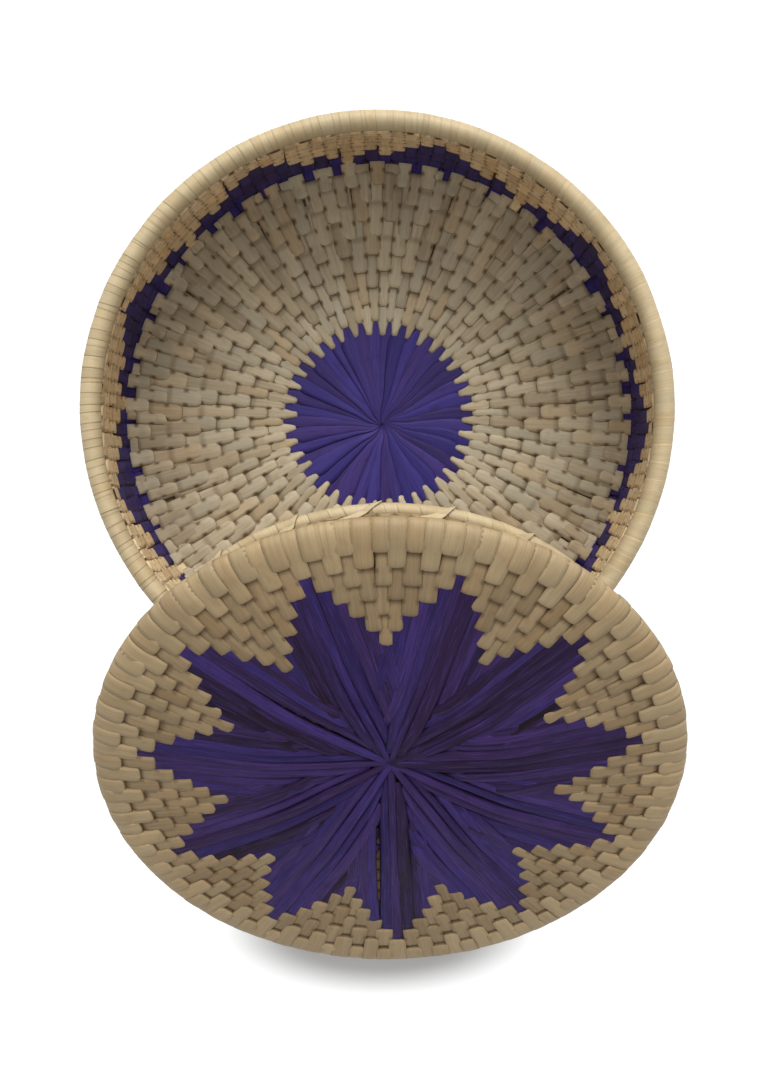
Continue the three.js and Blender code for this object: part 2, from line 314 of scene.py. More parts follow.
class Board:
    """A node tree while it is being wired up."""

    def __init__(self, tree):
        self.tree = tree

    def add(self, kind, settings=None, sockets=()):
        """Adds a node with its settings and its sockets' values or wires, by order or by name."""
        node = self.tree.nodes.new(kind)
        for name, value in (settings or {}).items():
            setattr(node, name, value)
        shown = [socket for socket in node.inputs if socket.enabled]
        named = {socket.name: socket for socket in reversed(shown)}
        pairs = sockets.items() if isinstance(sockets, dict) else enumerate(sockets)
        for key, value in pairs:
            socket = named[key] if isinstance(key, str) else shown[key]
            if isinstance(value, Wire):
                self.tree.links.new(value.socket, socket)
            else:
                socket.default_value = value
        first = next((output for output in node.outputs if output.enabled), None)
        return Wire(self, first)

    def math(self, operation, *values):
        """A Math node, or a Vector Math node where a vector takes part."""
        if any(isinstance(value, Wire) and value.is_vector() for value in values):
            wide = [value if isinstance(value, Wire) else (value,) * 3 for value in values]
            return self.add("ShaderNodeVectorMath", {"operation": operation}, wide)
        return self.add("ShaderNodeMath", {"operation": operation}, values)

    def smooth(self, value, low, high):
        """A soft step from nought to one as the value goes from low to high."""
        settings = {"interpolation_type": "SMOOTHSTEP"}
        sockets = {"Value": value, "From Min": low, "From Max": high}
        return self.add("ShaderNodeMapRange", settings, sockets)

    def parts(self, vector):
        """The three numbers of a vector."""
        split = self.add("ShaderNodeSeparateXYZ", None, [vector])
        return split["X"], split["Y"], split["Z"]

    def vector(self, *values):
        """A vector of three numbers."""
        return self.add("ShaderNodeCombineXYZ", None, values)

    def noise(self, vector, scale, detail=2.0):
        """Soft chance from nought to one over space."""
        sockets = {"Vector": vector, "Scale": scale, "Detail": detail}
        return self.add("ShaderNodeTexNoise", None, sockets)


class StripBoard(Board):
    """A geometry tree that lays strips along an outline and turns them about the axis."""

    def __init__(self, name):
        super().__init__(bpy.data.node_groups.new(name, "GeometryNodeTree"))
        self.tree.is_modifier = True
        self.tree.interface.new_socket("Geometry", in_out="OUTPUT", socket_type="NodeSocketGeometry")
        self.entry = self.tree.nodes.new("NodeGroupInput")
        source = self.input("Outline", "Object")
        self.outline = self.add("GeometryNodeObjectInfo", None, [source])["Geometry"]
        self.leaf = self.input("Leaf", "Material")
        self.seed = self.input("Seed", "Int", 1)
        self.index = self.add("GeometryNodeInputIndex")

    def input(self, name, kind, default=None):
        """A named input of the tree."""
        item = self.tree.interface.new_socket(
            name, in_out="INPUT", socket_type="NodeSocket" + kind)
        if default is not None:
            item.default_value = default
        return Wire(self, self.entry.outputs[name])

    def chance(self, low, high, which, number=None):
        """A number between two, by chance, that differs from strip to strip."""
        sockets = {
            "Min": low,
            "Max": high,
            "ID": self.index if number is None else number,
            "Seed": self.seed + which,
        }
        return self.add("FunctionNodeRandomValue", {"data_type": "FLOAT"}, sockets)

    def points(self, count):
        """One point for each strip."""
        return self.add("GeometryNodeMeshLine", None, {"Count": count, "Offset": (0, 0, 0)})

    def store(self, geometry, name, vector):
        """Keeps a vector at each point under a name."""
        settings = {"data_type": "FLOAT_VECTOR", "domain": "POINT"}
        sockets = {"Geometry": geometry, "Name": name, "Value": vector}
        return self.add("GeometryNodeStoreNamedAttribute", settings, sockets)

    def stored(self, name):
        """The three numbers kept under a name."""
        settings = {"data_type": "FLOAT_VECTOR"}
        return self.parts(self.add("GeometryNodeInputNamedAttribute", settings, [name]))

    def blocks(self, points, across, along):
        """A flat block on each point, two wide, one long and one high, cut into a grid."""
        sockets = {"Size": (2, 1, 1), "Vertices X": across, "Vertices Y": along, "Vertices Z": 2}
        block = self.add("GeometryNodeMeshCube", None, sockets)
        copies = self.add("GeometryNodeInstanceOnPoints", None, {"Points": points, "Instance": block})
        return self.add("GeometryNodeRealizeInstances", None, [copies])

    def mark(self, geometry, across, along, tone, width, length, odd):
        """Keeps what the leaf's finish reads: a corner's place in its strip, and the strip's own."""
        geometry = self.store(geometry, "leaf", self.vector(across, along, tone))
        return self.store(geometry, "span", self.vector(width, length, odd))

    def spread(self, x, much):
        """Draws the inner corners of a block out towards its sides."""
        return x * (1 + much - much * x * x)

    def drawn(self, centre, way, reach):
        """How far a corner is drawn towards a centre beside the axis, less with its way out."""
        near = 1 - self.smooth(way, 0.0, reach)
        sockets = {"Vector": centre, "Scale": near}
        return self.add("ShaderNodeVectorMath", {"operation": "SCALE"}, sockets)

    def grid_place(self):
        """Where a corner is in its block: across from -1 to 1, along and up from 0 to 1."""
        x, y, z = self.parts(self.add("GeometryNodeInputPosition"))
        return x, y + 0.5, z + 0.5

    def sample(self, way):
        """The radius, height and facing of the outline, a way along it."""
        settings = {"mode": "LENGTH", "use_all_curves": True}
        spot = self.add("GeometryNodeSampleCurve", settings, {"Curves": self.outline, "Length": way})
        radius, _, height = self.parts(spot["Position"])
        out, _, up = self.parts(spot["Tangent"])
        return radius, height, -up, out

    def swing(self, geometry, spot, turn, lift, shift=0.0):
        """Moves each corner to its spot on the outline, lifted, turned about the axis and shifted."""
        radius, height, outward, upward = spot
        reach = radius + outward * lift
        place = self.vector(
            reach * self.math("COSINE", turn),
            reach * self.math("SINE", turn),
            height + upward * lift)
        sockets = {"Geometry": geometry, "Position": place + shift}
        return self.add("GeometryNodeSetPosition", None, sockets)

    def finish(self, geometry, *names):
        """Drops the names that only the tree needs, and gives the geometry its leaf."""
        for name in names:
            sockets = {"Geometry": geometry, "Name": name}
            geometry = self.add("GeometryNodeRemoveAttribute", None, sockets)
        soft = self.add("GeometryNodeSetShadeSmooth", None, [geometry])
        whole = self.add("GeometryNodeRealizeInstances", None, [soft])
        made = self.add("GeometryNodeSetMaterial", None, {"Geometry": whole, "Material": self.leaf})
        self.add("NodeGroupOutput", None, [made])
        return self.tree


def stitch_tree():
    """Stitches in brick order, broad at the nose and narrow at the tail, some dyed in peaks."""
    board = StripBoard("stitches")
    side = board.input("Side", "Float", 1.0)
    columns = board.input("Columns", "Int", 80)
    layers = board.input("Layers", "Int", 4)
    first_layer = board.input("First layer", "Int", 0)
    row = board.input("Row", "Float", 0.01)
    start = board.input("Start", "Float", 0.0)
    rows_long = board.input("Rows long", "Float", 2.6)
    first_row = board.input("First row", "Float", -1.0)
    last_row = board.input("Last row", "Float", 99.0)
    turn = board.input("Turn", "Float", 0.0)
    nose_width = board.input("Nose width", "Float", 1.22)
    tail_width = board.input("Tail width", "Float", 1.06)
    roundness = board.input("Roundness", "Float", 0.42)
    thickness = board.input("Thickness", "Float", 0.002)
    depth = board.input("Depth", "Float", 0.0015)
    crown = board.input("Crown", "Float", 0.42)
    sink = board.input("Sink", "Float", 0.15)
    drop = board.input("Drop", "Float", 1.25)
    uneven = board.input("Unevenness", "Float", 1.0)
    segments = board.input("Segments", "Int", 8)
    peak_columns = board.input("Peak columns", "Int", 10)
    peak_column = board.input("Peak column", "Int", 0)
    peak_rows = board.input("Peak rows", "Float", -99.0)
    peak_foot = board.input("Peak foot", "Float", 0.0)
    slim_start = board.input("Slim start", "Float", 0.0)
    dyed = board.input("Dyed", "Int", 0)

    # Where a stitch changes its shape, in rows from its nose
    shortest = 0.35
    nose_end = 0.7
    narrowest = 1.6
    rises = (-0.3, 0.3)
    sinks = (0.4, 1.0)
    drops = (1.5, 2.1)
    tongue_widens = (0.2, 1.4)

    # How much it changes, as shares of its own size
    tongue_growth = 2.6
    skew_middle = 0.4
    nose_cut = 0.25
    tilt_height = 0.1

    column = board.index % columns
    layer = board.math("FLOOR", board.index / columns) + first_layer
    lowest = layer * 2 - 1 + column % 2
    half_peak = peak_columns / 2
    from_peak = abs((column - peak_column + peak_columns + half_peak) % peak_columns - half_peak)
    foot = peak_foot * board.math("LESS_THAN", from_peak, half_peak - 0.5)
    in_peak = board.math("LESS_THAN", lowest + 1, peak_rows * (1 - from_peak / half_peak) + foot)
    begin = board.math("MAXIMUM", lowest, first_row)
    end = board.math("MINIMUM", lowest + rows_long, last_row)
    unwanted = abs(in_peak - dyed) + board.math("LESS_THAN", end - begin, shortest)

    angle = (column + uneven * board.chance(-0.12, 0.12, 1)) * FULL_TURN / columns
    half = (1 + uneven * board.chance(-0.13, 0.13, 2)) * math.pi / columns
    tongue = slim_start * board.math("LESS_THAN", lowest, 0.0)
    skew = uneven * board.chance(-0.3, 0.3, 3)
    way = start + row * (begin + uneven * board.chance(-0.08, 0.08, 4))
    length = row * (end - begin)
    height = 1 + uneven * board.chance(-0.22, 0.22, 6)
    points = board.points(columns * layers)
    points = board.store(points, "angles", board.vector(angle, half, skew))
    points = board.store(points, "run", board.vector(way, length, height))
    points = board.store(points, "first", board.vector(tongue, 0.0, 0.0))
    points = board.store(points, "luck", board.vector(
        board.chance(0, 1, 7), board.chance(0, 1, 8), board.chance(-1, 1, 9)))
    left_out = board.math("GREATER_THAN", unwanted, 0.5)
    points = board.add("GeometryNodeDeleteGeometry", None, [points, left_out])

    strips = board.blocks(points, 4, segments)
    x, y, top = board.grid_place()
    angle, half, skew = board.stored("angles")
    way, length, height = board.stored("run")
    tone, odd, tilt = board.stored("luck")
    tongue = board.stored("first")[0]
    across = board.spread(x, 0.35)
    along = y * (0.55 + 0.45 * y)
    rows_in = along * length / row
    near_nose = 1 - board.smooth(rows_in, 0.0, nose_end)
    pulled = roundness * half * board.sample(way)[0] * (0.5 + 0.5 * x * x) * x * x * near_nose
    spot = board.sample(way + along * length + pulled)
    narrowing = board.math("MINIMUM", rows_in / narrowest, 1.0)
    broad = nose_width + (tail_width - nose_width) * narrowing - nose_cut * roundness * near_nose
    broad = broad * (1 - tongue + tongue_growth * tongue * board.smooth(rows_in, *tongue_widens))
    width = 2 * half * spot[0] * nose_width * MILLIMETRES
    strips = board.mark(strips, across, along, tone, width, length * MILLIMETRES, odd)
    swung = turn + side * (angle + (across * broad + skew * (along - skew_middle)) * half)
    sunk = sink * board.smooth(rows_in, *sinks) + drop * board.smooth(rows_in, *drops)
    body = (1 - crown * across * across) * (board.smooth(rows_in, *rises) - sunk)
    body = body * height + tilt_height * uneven * tilt * across
    lift = top * thickness * body - (1 - top) * depth
    strips = board.swing(strips, spot, swung, lift * side)
    return board.finish(strips, "angles", "run", "luck", "first")


def wrap_tree():
    """Strips wound round a closed outline, each lapping over the next."""
    board = StripBoard("wraps")
    count = board.input("Wraps", "Int", 150)
    thickness = board.input("Thickness", "Float", 0.00015)
    depth = board.input("Depth", "Float", 0.0008)
    slant = board.input("Slant", "Float", 0.5)
    lap = board.input("Lap", "Float", 0.12)
    uneven = board.input("Unevenness", "Float", 1.0)
    lumps = board.input("Lumps", "Float", 0.0008)
    taper = board.input("Taper", "Float", 0.0)
    raised = board.input("Raised", "Float", 0.0)
    segments = board.input("Segments", "Int", 19)
    seam_shift = 0.43
    lump_scale = 26.0

    here = board.chance(-seam_shift, seam_shift, 1) * uneven
    there = board.chance(-seam_shift, seam_shift, 1, (board.index + 1) % count) * uneven
    pitch = FULL_TURN / count
    angle = (board.index + (here + there + 1) / 2) * pitch
    half = (1 + there - here) / 2 * (1 + lap) * pitch
    lean = (slant + board.chance(-0.35, 0.35, 2) * uneven) * pitch
    points = board.points(count)
    points = board.store(points, "angles", board.vector(angle, half, lean))
    points = board.store(points, "luck", board.vector(
        board.chance(0, 1, 3), board.chance(0, 1, 4), board.chance(0.75, 1.25, 5)))

    strips = board.blocks(points, 4, segments)
    x, along, top = board.grid_place()
    across = board.spread(x, 1.74)
    angle, half, lean = board.stored("angles")
    tone, odd, height = board.stored("luck")
    around = board.add("GeometryNodeCurveLength", None, [board.outline])
    spot = board.sample(along * around)
    width = 2 * half * spot[0] * MILLIMETRES
    strips = board.mark(strips, across, along, tone, width, around * MILLIMETRES, odd)
    swung = angle + across * half * (1 - taper * along) + lean * (along - 0.5)
    body = 0.6 + (0.4 * across + 0.2 * (1 - across * across)) * height
    reach = spot[0]
    lump_place = board.vector(
        reach * board.math("COSINE", swung), reach * board.math("SINE", swung), spot[1])
    lump = (board.noise(lump_place, lump_scale, 1.0) - 0.5) * 2 * lumps
    lift = top * thickness * body - (1 - top) * depth + lump + raised * along * along
    strips = board.swing(strips, spot, swung, lift)
    return board.finish(strips, "angles", "luck")


def star_tree():
    """Strips laid side by side along each point's spine, their ends stepped and spread apart."""
    board = StripBoard("star strips")
    star_points = board.input("Points", "Int", 11)
    columns = board.input("Point columns", "Int", 10)
    point_rows = board.input("Point rows", "Int", 5)
    row = board.input("Row", "Float", 0.0086)
    valley = board.input("Valley", "Float", 0.082)
    tuck = board.input("Tuck", "Float", 0.003)
    turn = board.input("Turn", "Float", 0.0)
    thickness = board.input("Thickness", "Float", 0.0027)
    parallel = board.input("Parallel", "Float", 0.72)
    centre = board.input("Centre", "Vector", (0.0, 0.0, 0.0))
    joint_lap = 0.0012
    inner_width = 0.0046
    width_growth = 0.0042
    gathers = (0.004, 0.034)
    settles = (0.055, 0.085)
    centre_reach = 0.08

    count = star_points * columns
    pitch = FULL_TURN / count
    column = (board.index + columns / 2) % columns - columns / 2
    spine = (board.index - column) * pitch + turn
    reach = valley + (point_rows - abs(column)) * row + tuck
    aside = reach * board.math("SINE", column * pitch)
    end = reach * board.math("COSINE", column * pitch)
    joint = (abs(aside) * parallel - joint_lap) / board.math("TANGENT", columns * pitch / 2)
    begin = board.math("MAXIMUM", joint - board.chance(-0.001, 0.006, 1), 0.0)
    points = board.points(count)
    points = board.store(points, "lie", board.vector(
        spine, aside + board.chance(-0.0008, 0.0008, 3), board.chance(-0.0012, 0.0012, 4)))
    points = board.store(points, "run", board.vector(begin, end, board.chance(0.85, 1.25, 5)))
    points = board.store(points, "luck", board.vector(
        board.chance(0, 1, 6), board.chance(0, 1, 7), board.chance(0, 1, 8)))

    strips = board.blocks(points, 6, 17)
    across, along, top = board.grid_place()
    spine, aside, bow = board.stored("lie")
    begin, end, wide = board.stored("run")
    tone, odd, layer = board.stored("luck")
    ahead = begin + along * (end - begin)
    share = ahead / end
    pointed = 0.8 + 0.2 * board.smooth(along, 0.0, 0.2)
    width = (inner_width + width_growth * share) * wide * pointed
    sway = bow * board.math("SINE", along * math.pi)
    gathered = 0.6 + 0.4 * board.smooth(ahead, *gathers)
    sideways = aside * (parallel + (1 - parallel) * share) * gathered + sway + across * width / 2
    way = board.math("SQRT", ahead * ahead + sideways * sideways)
    spot = board.sample(way)
    swung = spine + board.math("ARCTAN2", sideways, ahead)
    length = (end - begin) * MILLIMETRES
    strips = board.mark(strips, across, along, tone, width * MILLIMETRES, length, odd)
    settle = 1 - 0.85 * board.smooth(way, *settles)
    dip = board.smooth(along, 0.0, 0.15)
    fold = 1 - across * across + 0.5 * across * (2 * odd - 1)
    body = (0.15 + 0.4 * settle) * fold + (0.1 + 0.7 * layer) * settle
    lift = top * thickness * body * (0.25 + 0.75 * dip) - (1 - top) * FAN_DEPTH
    drawn = board.drawn(centre, way, centre_reach)
    strips = board.swing(strips, spot, swung, lift, drawn)
    return board.finish(strips, "lie", "run", "luck")


def rosette_tree():
    """Broad strips round a pinched centre, each lapping the next and necked near its end."""
    board = StripBoard("rosette strips")
    count = board.input("Strips", "Int", 40)
    tip = board.input("Tip", "Float", 0.053)
    turn = board.input("Turn", "Float", 0.0)
    twist = board.input("Twist", "Float", 0.25)
    thickness = board.input("Thickness", "Float", 0.0012)
    centre = board.input("Centre", "Vector", (0.0, 0.0, 0.0))
    first_way = 0.0003
    past_middle = 0.0018
    middle_reach = 0.004
    inner_width = 0.0008
    narrowest_turn = 0.0012
    pinch_reach = 0.016
    pinch_depth = 0.0012
    centre_reach = 0.045

    pitch = FULL_TURN / count
    points = board.points(count)
    points = board.store(points, "angles", board.vector(
        turn + board.index * pitch,
        board.chance(-0.12, 0.12, 1) * pitch,
        board.chance(0.85, 1.2, 2)))
    points = board.store(points, "luck", board.vector(
        board.chance(0, 1, 3), board.chance(0, 1, 4), board.chance(0, 1, 5)))

    strips = board.blocks(points, 5, 17)
    across, along, top = board.grid_place()
    angle, aside, wide = board.stored("angles")
    tone, odd, layer = board.stored("luck")
    way = first_way + along * (tip - first_way)
    radius, *rest = board.sample(way)
    spot = (radius - past_middle * board.smooth(way, middle_reach, 0.0), *rest)
    share = way / tip
    neck = 1 - 0.45 * board.smooth(share, 0.78, 0.92) - 0.4 * board.smooth(share, 0.9, 1.0)
    width = (inner_width + 1.5 * way * pitch) * wide * neck
    length = tip * MILLIMETRES
    strips = board.mark(strips, across, along, tone, width * MILLIMETRES, length, odd)
    inner = 1 - board.smooth(way, 0.0, pinch_reach)
    swung = angle + aside * board.smooth(share, 0.9, 0.4) + twist * inner
    swung = swung + across * width / (2 * board.math("MAXIMUM", spot[0], narrowest_turn))
    ends = board.smooth(share, 1.1, 0.8)
    fold = 0.3 * across * across + 0.2 * abs(across - odd + 0.5)
    body = 0.6 - fold + (0.34 * across + 0.6 * layer) * ends
    lift = top * thickness * body * (1 - 0.7 * inner) - (1 - top) * FAN_DEPTH
    lift = lift - inner * inner * pinch_depth
    drawn = board.drawn(centre, way, centre_reach)
    strips = board.swing(strips, spot, swung, lift, drawn)
    return board.finish(strips, "angles", "luck")


def coil_tree():
    """One bundle of leaf coiled along an outline, a row each turn, thinned out at its ends."""
    board = StripBoard("coiled core")
    turns = board.input("Turns", "Float", 10.0)
    row = board.input("Row", "Float", 0.01)
    start = board.input("Start", "Float", 0.002)
    thickness = board.input("Thickness", "Float", 0.005)
    steps = board.input("Steps", "Int", 500)
    thinned_turns = 0.5
    half_row = 0.54
    lumpiness = 0.3

    sockets = {"Size X": 1.0, "Size Y": 1.0, "Vertices X": steps, "Vertices Y": 9}
    band = board.add("GeometryNodeMeshGrid", None, sockets)
    x, y, _ = board.parts(board.add("GeometryNodeInputPosition"))
    along = x + 0.5
    around = (y + 0.5) * FULL_TURN
    swung = along * turns * FULL_TURN
    full = board.smooth(along * turns, 0.0, thinned_turns)
    full = full * board.smooth((1 - along) * turns, 0.0, thinned_turns)
    across = half_row * full * board.math("COSINE", around)
    spot = board.sample(start + row * (along * turns + across))
    lump = 1 + lumpiness * (board.noise(board.vector(swung * 3, y, 0.0), 1.0, 1.0) - 0.5)
    lift = 0.5 * thickness * full * lump * board.math("SINE", around)
    band = board.mark(band, y * 2, along * turns, 0.5, 9.0, 900.0, 0.3)
    band = board.swing(band, spot, -swung, lift)
    band = board.add("GeometryNodeMergeByDistance", None, {"Geometry": band, "Distance": 1e-6})
    return board.finish(band)


TREES = {
    "stitches": stitch_tree,
    "wraps": wrap_tree,
    "star": star_tree,
    "rosette": rosette_tree,
    "coil": coil_tree,
}


# Outlines, as radius and height, with the side that shows to the left of the way along


def arc(centre, radii, start, end, steps=14):
    """Points on an oval, by angles from outwards towards up."""
    return [
        (centre[0] + radii[0] * math.cos(angle), centre[1] + radii[1] * math.sin(angle))
        for angle in np.linspace(start, end, steps)
    ]


def even_points(points, step=0.0015):
    """The same line with points at even steps."""
    line = np.array(points, float)
    ways = np.concatenate([[0], np.cumsum(np.hypot(*np.diff(line, axis=0).T))])
    at = np.linspace(0, ways[-1], max(int(ways[-1] / step), 8))
    return np.stack([np.interp(at, ways, line[:, 0]), np.interp(at, ways, line[:, 1])], axis=1)


def wall_line(thickness, side, low, high):
    """The wall at a side of its middle, from one height to another."""
    foot = FLOOR.outer - thickness / 2
    bow = WALL.outer - thickness / 2
    top = (RIM.inner + RIM.outer) / 2
    shape = np.polyfit([WALL.low, (WALL.low + WALL.high) / 2, WALL.high], [foot, bow, top], 2)
    return [(np.polyval(shape, z) + side, z) for z in np.linspace(low, high, 24)]


def floor_and_wall(thickness, side, floor, corner):
    """Out along the floor at its height, round its corner and up the wall at a side of its middle."""
    wall = wall_line(thickness, side, floor + corner, WALL.high)
    bend = arc((wall[0][0] - corner, floor + corner), (corner, corner), -math.pi / 2, 0)
    return [(0.0, floor)] + bend[:-1] + wall


def basket_inside(sizes, leaf):
    """Along the top of the floor and up the inside of the wall."""
    side = leaf.seat - sizes.wall_thickness / 2
    return floor_and_wall(sizes.wall_thickness, side, FLOOR.high - leaf.seat, corner=0.008)


def basket_middle(sizes):
    """Along the middle of the floor and up the middle of the wall."""
    floor = (FLOOR.low + FLOOR.high) / 2
    return floor_and_wall(sizes.wall_thickness, 0.0, floor, corner=0.006)


def basket_outside(sizes, leaf):
    """Along the underside, round the foot and up the outside of the wall."""
    side = sizes.wall_thickness / 2 - leaf.seat
    under = FLOOR.low + 1.4 * leaf.thickness
    return floor_and_wall(sizes.wall_thickness, side, under, corner=0.007)


def closed_roll(outer, high, width, height):
    """Round a roll's section from its underside."""
    centre = (outer - width / 2, high - height / 2)
    return arc(centre, (width / 2, height / 2), 1.5 * math.pi, -0.5 * math.pi, 40)


def lid_face(radius):
    """The height of the lid's face at a radius."""
    share = max(radius - DISC.inner, 0) / (DISC.outer - DISC.inner)
    return (EDGE.high - DISC.high) * share * share


def lid_line(reach, below):
    """Out along the lid, at a depth below its face."""
    return [(radius, lid_face(radius) - below) for radius in np.linspace(0, reach, 40)]


def lid_top(leaf):
    """Out over the lid's face, over its edge and in under it."""
    shoulder_gap = 0.001
    edge_drop = 0.0068
    fold = (0.009, 0.003)
    face = lid_line(EDGE.inner - shoulder_gap, leaf.seat)
    reach = EDGE.outer - 0.6 * leaf.seat
    low = EDGE.high - edge_drop
    shoulder = reach - face[-1][0]
    over = arc((reach - shoulder, low), (shoulder, face[-1][1] - low), 0.5 * math.pi, 0)
    under = arc((reach - fold[0], low), fold, 0, -0.5 * math.pi)
    return face + over[1:] + under[1:] + [(COLLAR.outer, COLLAR.high)]


def collar_line(radius, low):
    """Down the collar at a radius."""
    return [(radius, COLLAR.high), (radius, low)]


def tie_line():
    """Down the outside of the collar and round the outside of the ring."""
    off_ring = 0.0003
    off_collar = 0.0004
    above_ring = 0.003
    centre = ((RING.inner + RING.outer) / 2, (RING.low + RING.high) / 2)
    radii = ((RING.outer - RING.inner) / 2 + off_ring, (RING.high - RING.low) / 2 + off_ring)
    start = (COLLAR.outer + off_collar, RING.high + above_ring)
    return [start] + arc(centre, radii, 0.28 * math.pi, -0.1 * math.pi)


def star_valley(sizes):
    """How far out the valleys of the star lie."""
    return STAR.outer - sizes.point_rows * sizes.row + 0.0015


# Making pieces


def lay_strips(name, tree_name, line, place, settings):
    """Runs a tree along an outline and keeps the result as a plain mesh at its place."""
    curve = bpy.data.curves.new(name + "_outline", "CURVE")
    curve.dimensions = "3D"
    points = even_points(line)
    spline = curve.splines.new("POLY")
    spline.points.add(len(points) - 1)
    for point, (radius, height) in zip(spline.points, points):
        point.co = (radius, 0, height, 1)
    guide = bpy.data.objects.new(name + "_outline", curve)
    bpy.context.collection.objects.link(guide)
    piece = bpy.data.objects.new(name, bpy.data.meshes.new(name))
    bpy.context.collection.objects.link(piece)

    tree = bpy.data.node_groups.get(tree_name) or TREES[tree_name]()
    tree.name = tree_name
    modifier = piece.modifiers.new(tree_name, "NODES")
    modifier.node_group = tree
    sockets = {
        item.name: item.identifier
        for item in tree.interface.items_tree
        if item.in_out == "INPUT"
    }
    for key, value in {"Outline": guide, **settings}.items():
        modifier[sockets[key]] = value
    bpy.context.view_layer.update()
    depsgraph = bpy.context.evaluated_depsgraph_get()
    mesh = bpy.data.meshes.new_from_object(
        piece.evaluated_get(depsgraph), preserve_all_data_layers=True, depsgraph=depsgraph)
    piece.modifiers.clear()
    piece.data = mesh
    mesh.name = name
    mesh.materials.pop(index=0)
    mesh.transform(place)
    bpy.data.objects.remove(guide)
    bpy.data.curves.remove(curve)
    if not mesh.polygons:
        raise RuntimeError(f"{name} came out empty")
    return piece


def make_piece(name, tree_name, line, body, slot, settings, *nodes):
    """Lays strips along an outline, lets them ride on a body and stand for its nodes."""
    piece = lay_strips(name, tree_name, line, PLACES[body], settings)
    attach(piece, body)
    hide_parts(*nodes)


# Finishes


class Look(NamedTuple):
    """How a kind of leaf looks apart from its colour, with lengths in millimetres.

    The sides, nose, corner and tail settings say how dark a strip is there: along its sides from dirt
    in the gaps and painted shade in the grooves, at its nose from painted shade, beside the noses of
    the strips alongside from their painted shade, and at its tail from the painted shadow of the nose
    that covers it. Line is how wide its dark sides are, and gleam how bright the painted highlights
    along its fibres are. Spread is how far the strips differ in tone, and cool and warm tint the odd
    strip.
    """

    name: str
    roughness: float
    shine: float
    spread: float
    streaks: float
    gleam: float
    sides: float
    line: float
    nose: float = 0.0
    row: float = 10.0
    corners: float = 0.0
    tail: float = 0.0
    cool: tuple = (1.0, 1.0, 1.0)
    warm: tuple = (1.0, 1.0, 1.0)


LOOKS = {
    "straw": Look(
        "stitched_straw", roughness=0.62, shine=0.3, spread=0.28, streaks=0.35, gleam=1.25,
        sides=0.4, line=0.8, nose=0.7, row=9.55, corners=0.9, tail=0.4,
        cool=(0.92, 1.0, 1.06), warm=(1.0, 0.84, 0.64)),
    "wall": Look(
        "wall_straw", roughness=0.62, shine=0.3, spread=0.28, streaks=0.35, gleam=1.25,
        sides=0.15, line=0.6, nose=0.35, row=10.0, corners=0.9, tail=0.3,
        cool=(0.92, 0.98, 1.02), warm=(1.0, 0.84, 0.64)),
    "outside": Look(
        "outside_straw", roughness=0.6, shine=0.3, spread=0.28, streaks=0.38, gleam=1.25,
        sides=0.35, line=0.6, nose=0.6, row=10.0, corners=0.7, tail=0.5,
        cool=(0.95, 1.0, 1.02), warm=(1.0, 0.86, 0.7)),
    "wrapping": Look(
        "wound_straw", roughness=0.52, shine=0.4, spread=0.14, streaks=0.28, gleam=1.2,
        sides=0.4, line=0.3, cool=(0.97, 1.0, 1.04), warm=(0.95, 0.88, 0.78)),
    "lid": Look(
        "lid_straw", roughness=0.6, shine=0.3, spread=0.3, streaks=0.4, gleam=1.25,
        sides=0.4, line=0.6, nose=0.6, row=8.6, corners=0.6, tail=0.5,
        cool=(0.97, 1.04, 1.02), warm=(0.98, 0.86, 0.7)),
    "edge": Look(
        "edge_straw", roughness=0.54, shine=0.4, spread=0.2, streaks=0.36, gleam=1.2,
        sides=0.4, line=0.4, nose=0.8, row=8.6,
        cool=(0.97, 1.0, 1.03), warm=(0.97, 0.9, 0.8)),
    "purple": Look(
        "dyed_purple", roughness=0.5, shine=0.1, spread=0.8, streaks=0.8, gleam=2.8,
        sides=1.0, line=0.8, nose=0.3, cool=(0.85, 1.1, 1.5), warm=(1.12, 0.97, 0.95)),
    "violet": Look(
        "dyed_violet", roughness=0.48, shine=0.12, spread=0.4, streaks=0.6, gleam=1.6,
        sides=0.7, line=0.7, nose=0.3, cool=(0.9, 1.05, 1.25), warm=(1.2, 0.95, 0.85)),
    "zigzag": Look(
        "dyed_zigzag", roughness=0.5, shine=0.12, spread=0.4, streaks=0.5, gleam=1.6,
        sides=0.6, line=0.6, nose=0.6, row=10.0, corners=0.6, tail=0.5,
        cool=(0.9, 1.05, 1.25), warm=(1.2, 0.95, 0.85)),
    "core": Look(
        "bundled_straw", roughness=0.8, shine=0.1, spread=0.25, streaks=0.5, gleam=1.2,
        sides=0.3, line=0.5),
}


